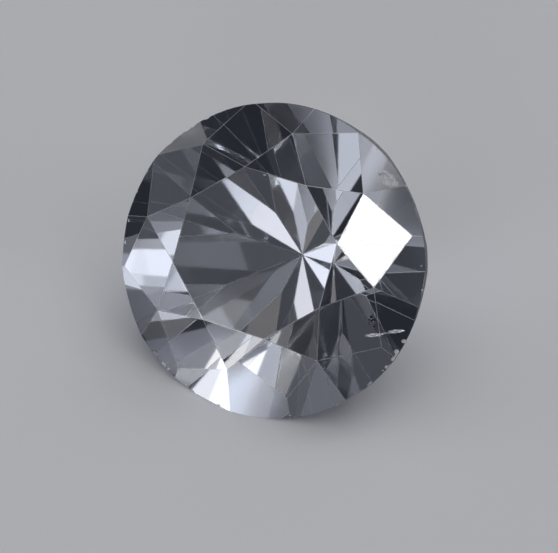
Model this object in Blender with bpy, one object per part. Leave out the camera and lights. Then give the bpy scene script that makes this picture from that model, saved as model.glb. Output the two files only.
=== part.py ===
"""A colourless apophyllite cut as a round brilliant, lying on one of its pavilion facets.

Run it with: blender --background --python part.py

The stone is ground the way a cutter does it. It starts as a cylinder, and every facet is one flat
cut across it. It is cut upright, with the table on top and the middle of the girdle at height 0,
and is then laid on the lower girdle facet that it rests on. Lengths are in metres, angles in
degrees. Kite 0 points along +X while the stone is upright, and the facets are counted clockwise,
seen from the table.
"""

from math import cos, radians, sin, tan

import bmesh
import bpy
from mathutils import Matrix, Vector

MM = 0.001
COLLECTION_NAME = "apophyllite"
STONE_NAME = "stone"

# The preform, a cylinder a little longer than the finished stone
GIRDLE_DIAMETER = 9.0 * MM
GIRDLE_THICKNESS = 0.31 * MM
GIRDLE_SIDES = 96
PREFORM_HEIGHT = 15 * MM

# The crown, above the girdle
SYMMETRY = 8
TABLE_SPAN = 4.90 * MM
CROWN_HEIGHT = 1.51 * MM
KITE_ANGLE = 33.6
STAR_REACH = 3.50 * MM
KITE_REACH = 4.32 * MM
CROWN_SHIFT = Vector((0.30, 0.07, 0)) * MM

# The pavilion, below the girdle, which was cut a little turned against the crown
PAVILION_TURN = -5.3
PAVILION_ANGLE = 47.1
LOWER_GIRDLE_ANGLE = 49.2
LOWER_GIRDLE_INDEX = 2.7
LOWER_GIRDLE_RISE = 0.11 * MM
CULET_SHIFT = Vector((0.05, -0.06, 0)) * MM

# How it lies: on the lower girdle facet beside this star, which was ground a little deeper than
# the others and so is wide enough to lie on, and turned so that the table faces -Y
RESTING_STAR = 4
RESTING_SIDE = 1
RESTING_DEPTH = 0.10 * MM
HEADING = -112.8

GIRDLE_RADIUS = GIRDLE_DIAMETER / 2
TABLE_RADIUS = TABLE_SPAN / 2
STEP = 360 / SYMMETRY
CLEAR_COLOUR = (0.93, 0.95, 0.97, 1)


def clockwise(index):
    """The azimuth of a kite, or of a star where the index ends in a half."""
    return -index * STEP


def polar(radius, azimuth, height):
    """The point at this radius, azimuth and height."""
    return Vector((radius * cos(radians(azimuth)), radius * sin(radians(azimuth)), height))


def crown_normal(angle, azimuth):
    """The outward normal of a crown facet at this angle to the girdle."""
    return polar(sin(radians(angle)), azimuth, cos(radians(angle)))


def pavilion_normal(angle, azimuth):
    """The outward normal of a pavilion facet at this angle to the girdle."""
    return polar(sin(radians(angle)), azimuth, -cos(radians(angle)))


def on_kite(radius, azimuth_from_kite):
    """The height of the kite's plane at a radius and an azimuth counted from the kite's own."""
    outward = radius * cos(radians(azimuth_from_kite))
    return CROWN_HEIGHT - (outward - TABLE_RADIUS) * tan(radians(KITE_ANGLE))


def table_corner(index):
    return CROWN_SHIFT + polar(TABLE_RADIUS, clockwise(index), CROWN_HEIGHT)


def star_point(index):
    height = on_kite(STAR_REACH, STEP / 2)
    return CROWN_SHIFT + polar(STAR_REACH, clockwise(index + 0.5), height)


def kite_point(index):
    return CROWN_SHIFT + polar(KITE_REACH, clockwise(index), on_kite(KITE_REACH, 0))


def preform():
    """The cylinder that the stone is ground from."""
    stone = bmesh.new()
    bmesh.ops.create_cone(
        stone,
        cap_ends=True,
        segments=GIRDLE_SIDES,
        radius1=GIRDLE_RADIUS,
        radius2=GIRDLE_RADIUS,
        depth=PREFORM_HEIGHT,
    )
    return stone


def grind(stone, point, normal):
    """Cuts off what lies beyond the plane through the point, and closes the cut with one facet."""
    everything = stone.verts[:] + stone.edges[:] + stone.faces[:]
    cut = bmesh.ops.bisect_plane(
        stone, geom=everything, plane_co=point, plane_no=normal, clear_outer=True
    )
    rim = [item for item in cut["geom_cut"] if isinstance(item, bmesh.types.BMEdge)]
    bmesh.ops.holes_fill(stone, edges=rim)


def grind_through(stone, first, second, third):
    """Grinds the facet that three points lie on, given anticlockwise as seen from outside."""
    grind(stone, first, (second - first).cross(third - first).normalized())


def grind_crown(stone):
    """The table, then the kites, the stars and the upper girdle facets."""
    grind(stone, Vector((0, 0, CROWN_HEIGHT)), Vector((0, 0, 1)))
    for index in range(SYMMETRY):
        grind(stone, table_corner(index), crown_normal(KITE_ANGLE, clockwise(index)))
    for index in range(SYMMETRY):
        grind_through(stone, table_corner(index + 1), star_point(index), table_corner(index))
    for index in range(SYMMETRY):
        rim = polar(GIRDLE_RADIUS, clockwise(index + 0.5), GIRDLE_THICKNESS / 2)
        grind_through(stone, star_point(index), rim, kite_point(index))
        grind_through(stone, star_point(index), kite_point(index + 1), rim)


def lower_girdle_facet(index, side):
    """A point and the normal of one of the two facets below a star, side being 1 or -1."""
    azimuth = clockwise(index + 0.5) + PAVILION_TURN
    rim = polar(GIRDLE_RADIUS, azimuth, LOWER_GIRDLE_RISE - GIRDLE_THICKNESS / 2)
    normal = pavilion_normal(LOWER_GIRDLE_ANGLE, azimuth + side * LOWER_GIRDLE_INDEX)
    if (index, side) == (RESTING_STAR, RESTING_SIDE):
        rim -= normal * RESTING_DEPTH
    return rim, normal


def grind_pavilion(stone):
    """The eight mains that meet at the culet, then the sixteen lower girdle facets."""
    depth = GIRDLE_THICKNESS / 2 + GIRDLE_RADIUS * tan(radians(PAVILION_ANGLE))
    culet = CULET_SHIFT + Vector((0, 0, -depth))
    for index in range(SYMMETRY):
        grind(stone, culet, pavilion_normal(PAVILION_ANGLE, clockwise(index) + PAVILION_TURN))
    for index in range(SYMMETRY):
        for side in (1, -1):
            grind(stone, *lower_girdle_facet(index, side))


def laid_down():
    """The turn and the lift that bring the resting facet flat onto height 0."""
    point, normal = lower_girdle_facet(RESTING_STAR, RESTING_SIDE)
    azimuth = clockwise(RESTING_STAR + 0.5) + PAVILION_TURN + RESTING_SIDE * LOWER_GIRDLE_INDEX
    face_x = Matrix.Rotation(radians(-azimuth), 4, "Z")
    lean = Matrix.Rotation(radians(LOWER_GIRDLE_ANGLE), 4, "Y")
    head = Matrix.Rotation(radians(HEADING), 4, "Z")
    lift = Matrix.Translation((0, 0, point.dot(normal)))
    return lift @ head @ lean @ face_x


def clear_crystal():
    """The stone's material, clear and colourless."""
    material = bpy.data.materials.new("clear_crystal")
    material.use_nodes = True
    shader = material.node_tree.nodes["Principled BSDF"]
    shader.inputs["Base Color"].default_value = CLEAR_COLOUR
    shader.inputs["Metallic"].default_value = 0.0
    shader.inputs["Roughness"].default_value = 0.02
    shader.inputs["IOR"].default_value = 1.535
    shader.inputs["Transmission Weight"].default_value = 1.0
    return material


def make_stone():
    """Grinds the stone, lays it down and centres it over the origin."""
    ground = preform()
    grind_crown(ground)
    grind_pavilion(ground)
    bmesh.ops.recalc_face_normals(ground, faces=ground.faces[:])
    mesh = bpy.data.meshes.new(STONE_NAME)
    ground.to_mesh(mesh)
    ground.free()
    mesh.materials.append(clear_crystal())
    stone = bpy.data.objects.new(STONE_NAME, mesh)
    placed = laid_down()
    reached = [placed @ vertex.co for vertex in mesh.vertices]
    across = [(min(p[i] for p in reached) + max(p[i] for p in reached)) / 2 for i in (0, 1)]
    stone.matrix_world = Matrix.Translation((-across[0], -across[1], 0)) @ placed
    return stone


def main():
    for leftover in list(bpy.data.objects):
        bpy.data.objects.remove(leftover)
    collection = bpy.data.collections.new(COLLECTION_NAME)
    bpy.context.scene.collection.children.link(collection)
    collection.objects.link(make_stone())


main()
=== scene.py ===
"""The looks of a clear apophyllite cut as a round brilliant, lying on one pavilion facet.

Lengths are in metres and angles in degrees. The finish is worked on the upright stone, where x
points to three o'clock on the girdle, y to twelve o'clock, which is its highest point as the stone
lies, and z out of the table. Places there are in millimetres.
"""

import random
from math import cos, pi, radians, sin, tan

import bmesh
import bpy
from mathutils import Matrix, Vector, noise


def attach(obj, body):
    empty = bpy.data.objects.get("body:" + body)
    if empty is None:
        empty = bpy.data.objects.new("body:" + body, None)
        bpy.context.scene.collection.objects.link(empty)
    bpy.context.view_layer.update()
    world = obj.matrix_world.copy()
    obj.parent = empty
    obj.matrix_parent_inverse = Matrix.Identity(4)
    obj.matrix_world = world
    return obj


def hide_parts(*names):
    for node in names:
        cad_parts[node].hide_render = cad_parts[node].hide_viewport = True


MM = 0.001
UM = 0.000001

# What one pixel of the photograph measures on the stone
GIRDLE_DIAMETER = 9.0 * MM
GIRDLE_WIDTH_IN_PIXELS = 316
PIXEL = GIRDLE_DIAMETER / GIRDLE_WIDTH_IN_PIXELS

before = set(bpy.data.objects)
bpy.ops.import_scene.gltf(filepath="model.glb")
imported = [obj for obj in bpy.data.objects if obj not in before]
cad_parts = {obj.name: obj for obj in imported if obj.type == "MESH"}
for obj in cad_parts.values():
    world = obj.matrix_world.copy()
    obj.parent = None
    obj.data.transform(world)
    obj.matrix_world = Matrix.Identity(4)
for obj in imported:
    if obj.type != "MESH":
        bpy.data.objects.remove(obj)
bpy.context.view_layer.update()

# The camera, which looks down on the stone through a long lens. It sees nothing nearer than
# NEAR_CLIP, a share of its distance, or farther than FAR_CLIP.
CAMERA_ELEVATION = 47.0
CAMERA_ROLL = 3.1
CAMERA_LENS = 400.0
SENSOR = 36.0
NEAR_CLIP = 0.1
FAR_CLIP = 10.0
PHOTO_WIDTH = 558
PHOTO_HEIGHT = 553
GIRDLE_CENTRE_PIXEL = (273.2, 260.8)

# The light. A softbox is where it stands, how wide and high it looks from the stone, how bright it
# is and its colour. Azimuth 0 is on the camera's side and 90 on the right. The places and sizes come
# from a least-squares fit of the stone's reflections to the photograph, some of them a little
# rounded, and the brightness was then changed.
COOL = (0.90, 0.95, 1.10)
NEUTRAL = (1.0, 1.0, 1.0)
WARM = (1.06, 1.0, 0.92)
SOFTBOXES = {
    "back right": (150, 50, 46, 46, 0.08, COOL),
    "back right core": (152, 46, 30, 22, 1.00, COOL),
    "back right top": (143, 63, 20, 20, 1.10, NEUTRAL),
    "back left": (-160, 23, 40, 36, 0.10, COOL),
    "left": (-90, 5, 42, 42, 1.60, COOL),
    "front left": (-40, 35, 27, 27, 0.80, COOL),
    "front": (-15, 13, 44, 34, 0.40, WARM),
    "front core": (-8, 14, 16, 16, 1.80, COOL),
    "right": (65, 31, 24, 22, 0.90, COOL),
    "under the front": (-11, -22, 22, 20, 0.80, COOL),
    "under the left": (-45, -55, 26, 32, 0.60, COOL),
}
ROOM_LIGHT = (0.017, 0.019, 0.026)
BACKDROP = (0.62, 0.62, 0.62)

# How far a softbox fades to either side of its edge, as a share of its half width or half height
FADE = 0.8

# The lamps, given as a softbox is, but with no colour
LAMP_DISTANCE = 0.4
FLOOR_LAMP = (0, 88, 70, 70, 0.9)
KITE_LAMP = (41, 42, 12, 12, 22)

# The floor
FLOOR_SIZE = 3.0
FLOOR_COLOUR = (0.72, 0.72, 0.72, 1)
FLOOR_ROUGHNESS = 0.9

# The optics
REFRACTION = 1.535
ABSORPTION = (0.90, 0.94, 1.0)
ABSORPTION_DENSITY = 6.0
BOUNCES = 32

# How the facets are found: points nearer than WELD are one point, faces that turn by less than
# FACET_ANGLE are one facet, and a face belongs to the girdle where its normal rises or falls by less
# than UPRIGHT
WELD = 0.2 * UM
FACET_ANGLE = 0.25
UPRIGHT = 0.02

# The width of the strip that wear has rubbed off each edge
EDGE_WEAR = 18 * UM

# The finishes: how rough each is, how deep and how wide its unevenness is, and how much light it
# lets through. The rest it scatters, as frosted crystal does.
FINISHES = {
    "polished crystal": (0.05, 0.10 * UM, 0.25 * MM, 1.0),
    "worn edge": (0.30, 0.3 * UM, 0.03 * MM, 0.8),
    "ground girdle": (0.25, 2 * UM, 0.04 * MM, 0.7),
    "broken crystal": (0.40, 3 * UM, 0.03 * MM, 0.55),
}
POLISHED, WORN, GROUND, BROKEN = range(len(FINISHES))

# The chipped stretches of the girdle: where they start and how far they run, counted anticlockwise
# from three o'clock, how many chips there are, and the size of the largest. The smallest chip, and
# how far outside the girdle the chips are centred, are shares of the largest.
CHIPPED = {
    "chips upper left": (128, 40, 12, 0.16 * MM),
    "chips lower left": (-124, 26, 12, 0.13 * MM),
    "chips lower right": (-32, 24, 26, 0.13 * MM),
    "chips all round": (0, 359, 40, 0.07 * MM),
}
CHIP_SEED = 3
CHIP_SPREAD = 0.14 * MM
CHIP_SHIFT = 0.45
SMALLEST_CHIP = 0.3
CHIP_GRAIN = 0.05 * MM
CHIP_RAGGEDNESS = 0.03 * MM

# The single breaks: their places and half sizes in millimetres, and how ragged they are. Their fine
# lumps are FINE_LUMPS times smaller than the coarse ones, with FINE_LUMP_SHARE of their depth.
BITES = {
    "frosted break": ((2.66, 3.44, 0.36), (0.36, 0.26, 0.20), 0.22),
    "table nick": ((-0.60, 2.43, 1.50), (0.06, 0.04, 0.05), 0.25),
}
COARSE_LUMPS = 3
FINE_LUMPS = 3
FINE_LUMP_SHARE = 0.6

# The inclusions: the cloud of dark specks, and the cracks with their places and half sizes in
# millimetres, the direction in the room that they run in, and the one that they mirror
SPECK_CENTRE = (3.46, -0.52, 0.56)
SPECK_SPREAD = (0.07, 0.09, 0.05)
SPECKS = 26
LARGEST_SPECK = 0.045 * MM
SPECK_SEED = 4
CRACK_LIGHT = (-12, 14)
CRACKS_RUN = (1.0, 0.0, 0.12)
CRACKS = {
    "inner_crack": ((3.58, -0.94, 0.38), (0.21, 0.045, 0.01)),
    "joining_crack": ((3.84, -0.80, 0.25), (0.24, 0.012, 0.005)),
    "outer_crack": ((4.10, -0.66, 0.12), (0.19, 0.045, 0.01)),
}

# A speck's size is the square of a number drawn from this range, times the largest, so that most
# are small. Each is then flattened along its three axes by numbers from the second range.
SPECK_SIZES = (0.25, 1.0)
SPECK_FLATNESS = (0.5, 1.0)

# The cracks' ripples, wide and fine: how deep and how many
WIDE_RIPPLE = 0.5
WIDE_RIPPLES = 2
FINE_RIPPLE = 0.35
FINE_RIPPLES = 7

# The finishes of the inclusions: their colour, how metallic they are and how rough
DARK_MINERAL = ((0.01, 0.01, 0.012), 0.0, 0.5)
SILVERY_CRACK = ((1.0, 1.0, 1.0), 1.0, 0.2)


def direction(azimuth, elevation):
    """The unit vector that points from the stone to this place in the room."""
    across, up = radians(azimuth), radians(elevation)
    return Vector((sin(across) * cos(up), -cos(across) * cos(up), sin(up)))


def link(item):
    """Puts a new object into the scene."""
    bpy.context.scene.collection.objects.link(item)
    return item


def solid(shape, name, *finishes):
    """An object made of a bmesh, with its materials."""
    mesh = bpy.data.meshes.new(name)
    shape.to_mesh(mesh)
    shape.free()
    for finish in finishes:
        mesh.materials.append(finish)
    return link(bpy.data.objects.new(name, mesh))


def settled(item):
    """Turns what an object's modifiers make into its plain mesh."""
    evaluated = item.evaluated_get(bpy.context.evaluated_depsgraph_get())
    mesh = bpy.data.meshes.new_from_object(evaluated)
    item.modifiers.clear()
    item.data = mesh
    return item


def crystal(name, roughness, bump, grain, clear):
    """Crystal with its polish, how deep and wide its unevenness is, and how much it lets through."""
    material = bpy.data.materials.new(name)
    material.use_nodes = True
    nodes = material.node_tree.nodes
    links = material.node_tree.links
    shader = nodes["Principled BSDF"]
    shader.inputs["Base Color"].default_value = (1, 1, 1, 1)
    shader.inputs["Roughness"].default_value = roughness
    shader.inputs["IOR"].default_value = REFRACTION
    shader.inputs["Transmission Weight"].default_value = clear
    place = nodes.new("ShaderNodeTexCoord")
    surface = nodes.new("ShaderNodeTexNoise")
    surface.inputs["Scale"].default_value = 1 / grain
    surface.inputs["Detail"].default_value = 3.0
    uneven = nodes.new("ShaderNodeBump")
    uneven.inputs["Distance"].default_value = bump
    links.new(place.outputs["Object"], surface.inputs["Vector"])
    links.new(surface.outputs["Fac"], uneven.inputs["Height"])
    links.new(uneven.outputs["Normal"], shader.inputs["Normal"])
    depth = nodes.new("ShaderNodeVolumeAbsorption")
    depth.inputs["Color"].default_value = (*ABSORPTION, 1)
    depth.inputs["Density"].default_value = ABSORPTION_DENSITY
    links.new(depth.outputs["Volume"], nodes["Material Output"].inputs["Volume"])
    return material


def sharp_facets(node):
    """A copy of the CAD stone's mesh, welded, with each facet as one face."""
    facets = bmesh.new()
    facets.from_mesh(node.data)
    bmesh.ops.remove_doubles(facets, verts=facets.verts, dist=WELD)
    bmesh.ops.dissolve_limit(
        facets, angle_limit=radians(FACET_ANGLE), verts=facets.verts, edges=facets.edges
    )
    return facets


def upright_frame(facets):
    """The place of the upright stone's own axes, found from its table and its girdle."""
    table = max(facets.faces, key=lambda face: face.calc_area())
    axis = table.normal.copy()
    twelve = (Vector((0, 0, 1)) - axis * axis.z).normalized()
    three = twelve.cross(axis)
    girdle = [face for face in facets.faces if abs(face.normal.dot(axis)) < UPRIGHT]
    reached = [vertex.co for face in girdle for vertex in face.verts]
    centre = Vector()
    for way in (three, twelve, axis):
        along = [point.dot(way) for point in reached]
        centre += way * (min(along) + max(along)) / 2
    return Matrix.Translation(centre) @ Matrix((three, twelve, axis)).transposed().to_4x4()


def on_girdle(face):
    """Whether a face of the upright stone belongs to its girdle."""
    return abs(face.normal.z) < UPRIGHT


def wear_edges(stone):
    """Rubs a narrow strip off each edge between two facets, but not off the girdle."""
    strips = []
    for edge in stone.edges:
        first, second = edge.link_faces
        if on_girdle(first) or on_girdle(second):
            continue
        outward = (first.normal + second.normal).normalized()
        depth = EDGE_WEAR / 2 * tan(first.normal.angle(second.normal) / 2)
        middle = (edge.verts[0].co + edge.verts[1].co) / 2
        strips.append((middle - outward * depth, outward))
    for point, outward in strips:
        everything = stone.verts[:] + stone.edges[:] + stone.faces[:]
        cut = bmesh.ops.bisect_plane(
            stone, geom=everything, plane_co=point, plane_no=outward, clear_outer=True
        )
        rim = [item for item in cut["geom_cut"] if isinstance(item, bmesh.types.BMEdge)]
        for face in bmesh.ops.holes_fill(stone, edges=rim)["faces"]:
            face.material_index = WORN


def chip_tree():
    """The node tree that sets rough lumps along an arc of the girdle, to cut chips with."""
    tree = bpy.data.node_groups.new("chips along the girdle", "GeometryNodeTree")
    inputs = {}
    for name, kind in (
        ("Radius", "NodeSocketFloat"),
        ("Start", "NodeSocketFloat"),
        ("Sweep", "NodeSocketFloat"),
        ("Count", "NodeSocketInt"),
        ("Largest", "NodeSocketFloat"),
        ("Spread", "NodeSocketFloat"),
        ("Seed", "NodeSocketInt"),
        ("Finish", "NodeSocketMaterial"),
    ):
        inputs[name] = tree.interface.new_socket(name, in_out="INPUT", socket_type=kind).identifier
    tree.interface.new_socket("Geometry", in_out="OUTPUT", socket_type="NodeSocketGeometry")
    nodes, links = tree.nodes, tree.links
    given = nodes.new("NodeGroupInput")

    def chance(lowest, highest):
        drawn = nodes.new("FunctionNodeRandomValue")
        drawn.data_type = "FLOAT_VECTOR"
        drawn.inputs["Min"].default_value = (lowest, lowest, lowest)
        drawn.inputs["Max"].default_value = (highest, highest, highest)
        links.new(given.outputs["Seed"], drawn.inputs["Seed"])
        return drawn.outputs["Value"]

    def scaled(vector, scale):
        product = nodes.new("ShaderNodeVectorMath")
        product.operation = "SCALE"
        links.new(vector, product.inputs["Vector"])
        if isinstance(scale, float):
            product.inputs["Scale"].default_value = scale
        else:
            links.new(scale, product.inputs["Scale"])
        return product.outputs["Vector"]

    def moved(geometry, offset):
        shifted = nodes.new("GeometryNodeSetPosition")
        links.new(geometry, shifted.inputs["Geometry"])
        links.new(offset, shifted.inputs["Offset"])
        return shifted.outputs["Geometry"]

    arc = nodes.new("GeometryNodeCurveArc")
    links.new(given.outputs["Count"], arc.inputs["Resolution"])
    links.new(given.outputs["Radius"], arc.inputs["Radius"])
    links.new(given.outputs["Start"], arc.inputs["Start Angle"])
    links.new(given.outputs["Sweep"], arc.inputs["Sweep Angle"])
    strewn = moved(arc.outputs["Curve"], scaled(chance(-1, 1), given.outputs["Spread"]))
    lump = nodes.new("GeometryNodeMeshIcoSphere")
    lump.inputs["Subdivisions"].default_value = 3
    lump.inputs["Radius"].default_value = 1.0
    lumps = nodes.new("GeometryNodeInstanceOnPoints")
    links.new(strewn, lumps.inputs["Points"])
    links.new(lump.outputs["Mesh"], lumps.inputs["Instance"])
    links.new(chance(0, pi), lumps.inputs["Rotation"])
    links.new(scaled(chance(SMALLEST_CHIP, 1), given.outputs["Largest"]), lumps.inputs["Scale"])
    real = nodes.new("GeometryNodeRealizeInstances")
    links.new(lumps.outputs["Instances"], real.inputs["Geometry"])
    ragged = nodes.new("ShaderNodeTexNoise")
    ragged.inputs["Scale"].default_value = 1 / CHIP_GRAIN
    centred = nodes.new("ShaderNodeVectorMath")
    centred.operation = "SUBTRACT"
    centred.inputs[1].default_value = (0.5, 0.5, 0.5)
    links.new(ragged.outputs["Color"], centred.inputs[0])
    rough = moved(real.outputs["Geometry"], scaled(centred.outputs["Vector"], CHIP_RAGGEDNESS))
    finished = nodes.new("GeometryNodeSetMaterial")
    links.new(rough, finished.inputs["Geometry"])
    links.new(given.outputs["Finish"], finished.inputs["Material"])
    result = nodes.new("NodeGroupOutput")
    links.new(finished.outputs["Geometry"], result.inputs["Geometry"])
    return tree, inputs


def chip_cutters(finish):
    """The rough lumps that break chips out of the girdle."""
    tree, inputs = chip_tree()
    cutters = []
    for index, (name, (start, sweep, count, largest)) in enumerate(CHIPPED.items()):
        cutter = link(bpy.data.objects.new(name, bpy.data.meshes.new(name)))
        modifier = cutter.modifiers.new("chips", "NODES")
        modifier.node_group = tree
        values = {
            "Radius": GIRDLE_DIAMETER / 2 + largest * CHIP_SHIFT,
            "Start": radians(start),
            "Sweep": radians(sweep),
            "Count": count,
            "Largest": largest,
            "Spread": CHIP_SPREAD,
            "Seed": CHIP_SEED + index,
            "Finish": finish,
        }
        for socket, value in values.items():
            modifier[inputs[socket]] = value
        cutters.append(settled(cutter))
    return cutters


def bite(name, place, size, raggedness, finish, seed):
    """A ragged lump that breaks one piece out of the stone."""
    lump = bmesh.new()
    bmesh.ops.create_icosphere(lump, subdivisions=4, radius=1.0)
    for vertex in lump.verts:
        here = vertex.co * COARSE_LUMPS + Vector((seed, seed, seed))
        lumpy = noise.noise(here) + FINE_LUMP_SHARE * noise.noise(here * FINE_LUMPS)
        vertex.co *= 1 + raggedness * lumpy
        vertex.co = Vector(place) * MM + Vector([a * b * MM for a, b in zip(vertex.co, size)])
    return solid(lump, name, finish)


def cut_stone(node):
    """The polished stone, with worn edges, a ground girdle, chips and small breaks."""
    finishes = [crystal(name, *values) for name, values in FINISHES.items()]
    facets = sharp_facets(node)
    placed = upright_frame(facets)
    facets.transform(placed.inverted())
    facets.normal_update()
    for face in facets.faces:
        face.material_index = GROUND if on_girdle(face) else POLISHED
    wear_edges(facets)
    stone = solid(facets, "cut_stone", *finishes)
    cutters = chip_cutters(finishes[BROKEN])
    for seed, (name, (place, size, raggedness)) in enumerate(BITES.items(), start=1):
        cutters.append(bite(name, place, size, raggedness, finishes[BROKEN], seed))
    breaks = bpy.data.collections.new("breaks")
    for cutter in cutters:
        breaks.objects.link(cutter)
    breaking = stone.modifiers.new("breaks", "BOOLEAN")
    breaking.operand_type = "COLLECTION"
    breaking.collection = breaks
    breaking.solver = "EXACT"
    breaking.use_self = True
    breaking.material_mode = "TRANSFER"
    settled(stone)
    for cutter in cutters:
        bpy.data.objects.remove(cutter)
    bpy.data.collections.remove(breaks)
    stone.data.transform(placed)
    return stone, placed


def inclusion_finish(name, colour, metallic, roughness):
    """The finish of something that the crystal holds: mineral grains, or a crack's silvery skin."""
    material = bpy.data.materials.new(name)
    material.use_nodes = True
    shader = material.node_tree.nodes["Principled BSDF"]
    shader.inputs["Base Color"].default_value = (*colour, 1)
    shader.inputs["Metallic"].default_value = metallic
    shader.inputs["Roughness"].default_value = roughness
    return material


def speck_cluster(finish):
    """Small dark grains, strewn through a little cloud below the crown at four o'clock."""
    chance = random.Random(SPECK_SEED)
    grains = bmesh.new()
    for _ in range(SPECKS):
        size = chance.uniform(*SPECK_SIZES) ** 2 * LARGEST_SPECK
        astray = Vector([chance.gauss(0, spread) for spread in SPECK_SPREAD])
        lump = bmesh.ops.create_icosphere(grains, subdivisions=2, radius=size)["verts"]
        flattened = Matrix.Diagonal([chance.uniform(*SPECK_FLATNESS) for _ in range(3)])
        for vertex in lump:
            vertex.co = flattened @ vertex.co + Vector(SPECK_CENTRE) * MM + astray * MM
    return solid(grains, "dark_specks", finish)


def crack(name, place, size, turned, finish):
    """One thin flat crack, turned so that it shines."""
    skin = bmesh.new()
    bmesh.ops.create_icosphere(skin, subdivisions=4, radius=1.0)
    for vertex in skin.verts:
        ripple = 1 + WIDE_RIPPLE * noise.noise(vertex.co * WIDE_RIPPLES)
        ripple += FINE_RIPPLE * noise.noise(vertex.co * FINE_RIPPLES)
        flat = Vector([a * b * MM for a, b in zip(vertex.co, size)])
        vertex.co = Vector(place) * MM + turned @ (flat * ripple)
    return solid(skin, name, finish)


def inclusions(placed):
    """What lies inside the crystal: a cloud of dark specks and the silvery cracks."""
    dark = inclusion_finish("dark mineral", *DARK_MINERAL)
    silvery = inclusion_finish("silvery crack", *SILVERY_CRACK)
    shining = (direction(0, CAMERA_ELEVATION) + direction(*CRACK_LIGHT)).normalized()
    across = shining.cross(Vector(CRACKS_RUN)).normalized()
    turned = Matrix((across.cross(shining), across, shining)).transposed()
    turned = placed.to_3x3().inverted() @ turned
    pieces = [speck_cluster(dark)]
    for name, (place, size) in CRACKS.items():
        pieces.append(crack(name, place, size, turned, silvery))
    for piece in pieces:
        piece.data.transform(placed)
    return pieces


def softbox_tree():
    """The glow of one softbox in the room: even in its middle and fading at its edges."""
    tree = bpy.data.node_groups.new("softbox", "ShaderNodeTree")
    for name, kind in (
        ("Direction", "NodeSocketVector"),
        ("Middle", "NodeSocketVector"),
        ("Right", "NodeSocketVector"),
        ("Up", "NodeSocketVector"),
        ("Width", "NodeSocketFloat"),
        ("Height", "NodeSocketFloat"),
        ("Light", "NodeSocketColor"),
    ):
        tree.interface.new_socket(name, in_out="INPUT", socket_type=kind)
    tree.interface.new_socket("Glow", in_out="OUTPUT", socket_type="NodeSocketVector")
    nodes, links = tree.nodes, tree.links
    given = nodes.new("NodeGroupInput")

    def along(axis):
        product = nodes.new("ShaderNodeVectorMath")
        product.operation = "DOT_PRODUCT"
        links.new(given.outputs["Direction"], product.inputs[0])
        links.new(given.outputs[axis], product.inputs[1])
        return product.outputs["Value"]

    def calculate(operation, first, second=None):
        step = nodes.new("ShaderNodeMath")
        step.operation = operation
        for socket, value in zip(step.inputs, (first, second)):
            if isinstance(value, (int, float)):
                socket.default_value = value
            elif value is not None:
                links.new(value, socket)
        return step.outputs["Value"]

    forward = along("Middle")
    fades = []
    for axis, size in (("Right", "Width"), ("Up", "Height")):
        aside = calculate("ABSOLUTE", calculate("ARCTAN2", along(axis), forward))
        half = calculate("MULTIPLY", given.outputs[size], 0.5)
        inside = calculate("SUBTRACT", calculate("MULTIPLY", half, 1 + FADE), aside)
        fade = nodes.new("ShaderNodeMapRange")
        fade.interpolation_type = "SMOOTHSTEP"
        share = calculate("DIVIDE", inside, calculate("MULTIPLY", half, 2 * FADE))
        links.new(share, fade.inputs["Value"])
        fades.append(fade.outputs["Result"])
    glow = nodes.new("ShaderNodeVectorMath")
    glow.operation = "SCALE"
    links.new(given.outputs["Light"], glow.inputs["Vector"])
    links.new(calculate("MULTIPLY", *fades), glow.inputs["Scale"])
    result = nodes.new("NodeGroupOutput")
    links.new(glow.outputs["Vector"], result.inputs["Glow"])
    return tree


def room():
    """The dim room round the stone with its softboxes, which the camera sees as a pale backdrop."""
    world = bpy.data.worlds.new("room")
    world.use_nodes = True
    nodes, links = world.node_tree.nodes, world.node_tree.links
    looked_at = nodes.new("ShaderNodeTexCoord")
    softbox = softbox_tree()
    dim = nodes.new("ShaderNodeCombineXYZ")
    for socket, value in zip(dim.inputs, ROOM_LIGHT):
        socket.default_value = value
    total = dim.outputs["Vector"]
    for azimuth, elevation, width, height, brightness, colour in SOFTBOXES.values():
        middle = direction(azimuth, elevation)
        right = direction(azimuth + 90, 0)
        box = nodes.new("ShaderNodeGroup")
        box.node_tree = softbox
        box.inputs["Middle"].default_value = middle
        box.inputs["Right"].default_value = right
        box.inputs["Up"].default_value = middle.cross(right)
        box.inputs["Width"].default_value = radians(width)
        box.inputs["Height"].default_value = radians(height)
        box.inputs["Light"].default_value = (*(brightness * part for part in colour), 1)
        links.new(looked_at.outputs["Generated"], box.inputs["Direction"])
        both = nodes.new("ShaderNodeVectorMath")
        links.new(total, both.inputs[0])
        links.new(box.outputs["Glow"], both.inputs[1])
        total = both.outputs["Vector"]
    lit = nodes["Background"]
    links.new(total, lit.inputs["Color"])
    pale = nodes.new("ShaderNodeBackground")
    pale.inputs["Color"].default_value = (*BACKDROP, 1)
    seen = nodes.new("ShaderNodeLightPath")
    either = nodes.new("ShaderNodeMixShader")
    links.new(seen.outputs["Is Camera Ray"], either.inputs["Fac"])
    links.new(lit.outputs["Background"], either.inputs[1])
    links.new(pale.outputs["Background"], either.inputs[2])
    links.new(either.outputs["Shader"], nodes["World Output"].inputs["Surface"])
    bpy.context.scene.world = world


def lamp(name, azimuth, elevation, width, height, brightness):
    """A lamp with a soft front that faces the stone."""
    light = bpy.data.lights.new(name, "AREA")
    light.shape = "RECTANGLE"
    light.size = 2 * LAMP_DISTANCE * tan(radians(width / 2))
    light.size_y = 2 * LAMP_DISTANCE * tan(radians(height / 2))
    light.energy = brightness * pi * light.size * light.size_y
    holder = link(bpy.data.objects.new(name, light))
    towards = direction(azimuth, elevation)
    holder.location = towards * LAMP_DISTANCE
    holder.rotation_euler = towards.to_track_quat("Z", "Y").to_euler()
    return holder


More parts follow.
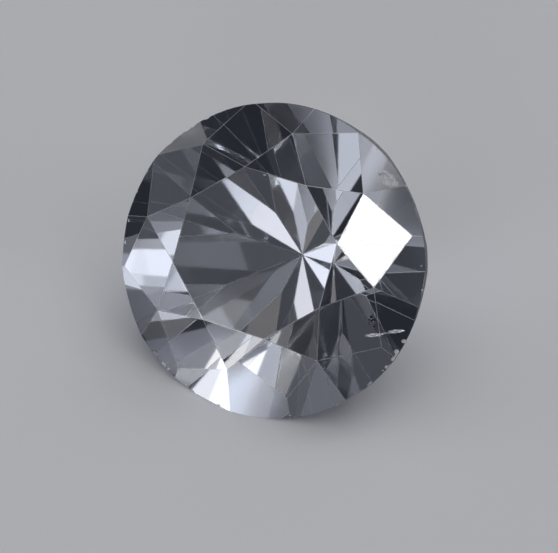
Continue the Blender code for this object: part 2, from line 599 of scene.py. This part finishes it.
def lamps():
    """A large soft lamp for the floor, and a small one that a single kite facet mirrors."""
    overhead = lamp("floor light", *FLOOR_LAMP)
    overhead.visible_glossy = False
    overhead.visible_transmission = False
    mirrored = lamp("kite light", *KITE_LAMP)
    mirrored.visible_diffuse = False
    mirrored.visible_transmission = False


def floor():
    """The plain pale floor."""
    bpy.ops.mesh.primitive_plane_add(size=FLOOR_SIZE)
    ground = bpy.context.object
    ground.name = "floor"
    material = bpy.data.materials.new("pale floor")
    material.use_nodes = True
    shader = material.node_tree.nodes["Principled BSDF"]
    shader.inputs["Base Color"].default_value = FLOOR_COLOUR
    shader.inputs["Roughness"].default_value = FLOOR_ROUGHNESS
    ground.data.materials.append(material)
    ground.visible_transmission = False
    ground.visible_glossy = False


def camera(placed):
    """The camera at the photograph's angle, with the girdle where the photograph has it."""
    lens = bpy.data.cameras.new("camera")
    lens.lens = CAMERA_LENS
    lens.sensor_width = SENSOR
    holder = link(bpy.data.objects.new("camera", lens))
    back = direction(0, CAMERA_ELEVATION)
    level = back.to_track_quat("Z", "Y").to_matrix()
    turned = level @ Matrix.Rotation(radians(CAMERA_ROLL), 3, "Z")
    right, up = turned.col[0], turned.col[1]
    aside = (PHOTO_WIDTH / 2 - GIRDLE_CENTRE_PIXEL[0]) * PIXEL
    below = (PHOTO_HEIGHT / 2 - GIRDLE_CENTRE_PIXEL[1]) * PIXEL
    target = placed.translation + right * aside - up * below
    distance = PHOTO_WIDTH * PIXEL * CAMERA_LENS / SENSOR
    holder.matrix_world = Matrix.Translation(target + back * distance) @ turned.to_4x4()
    lens.clip_start = distance * NEAR_CLIP
    lens.clip_end = FAR_CLIP
    bpy.context.scene.camera = holder


def optics():
    """Enough bounces for light that runs round inside the stone."""
    cycles = bpy.context.scene.cycles
    cycles.max_bounces = BOUNCES
    cycles.transmission_bounces = BOUNCES
    cycles.glossy_bounces = BOUNCES
    cycles.blur_glossy = 0.0
    bpy.context.scene.view_settings.view_transform = "Standard"


stone, placed = cut_stone(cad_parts["stone"])
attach(stone, "root")
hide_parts("stone")
for piece in inclusions(placed):
    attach(piece, "root")

room()
lamps()
floor()
optics()
camera(placed)
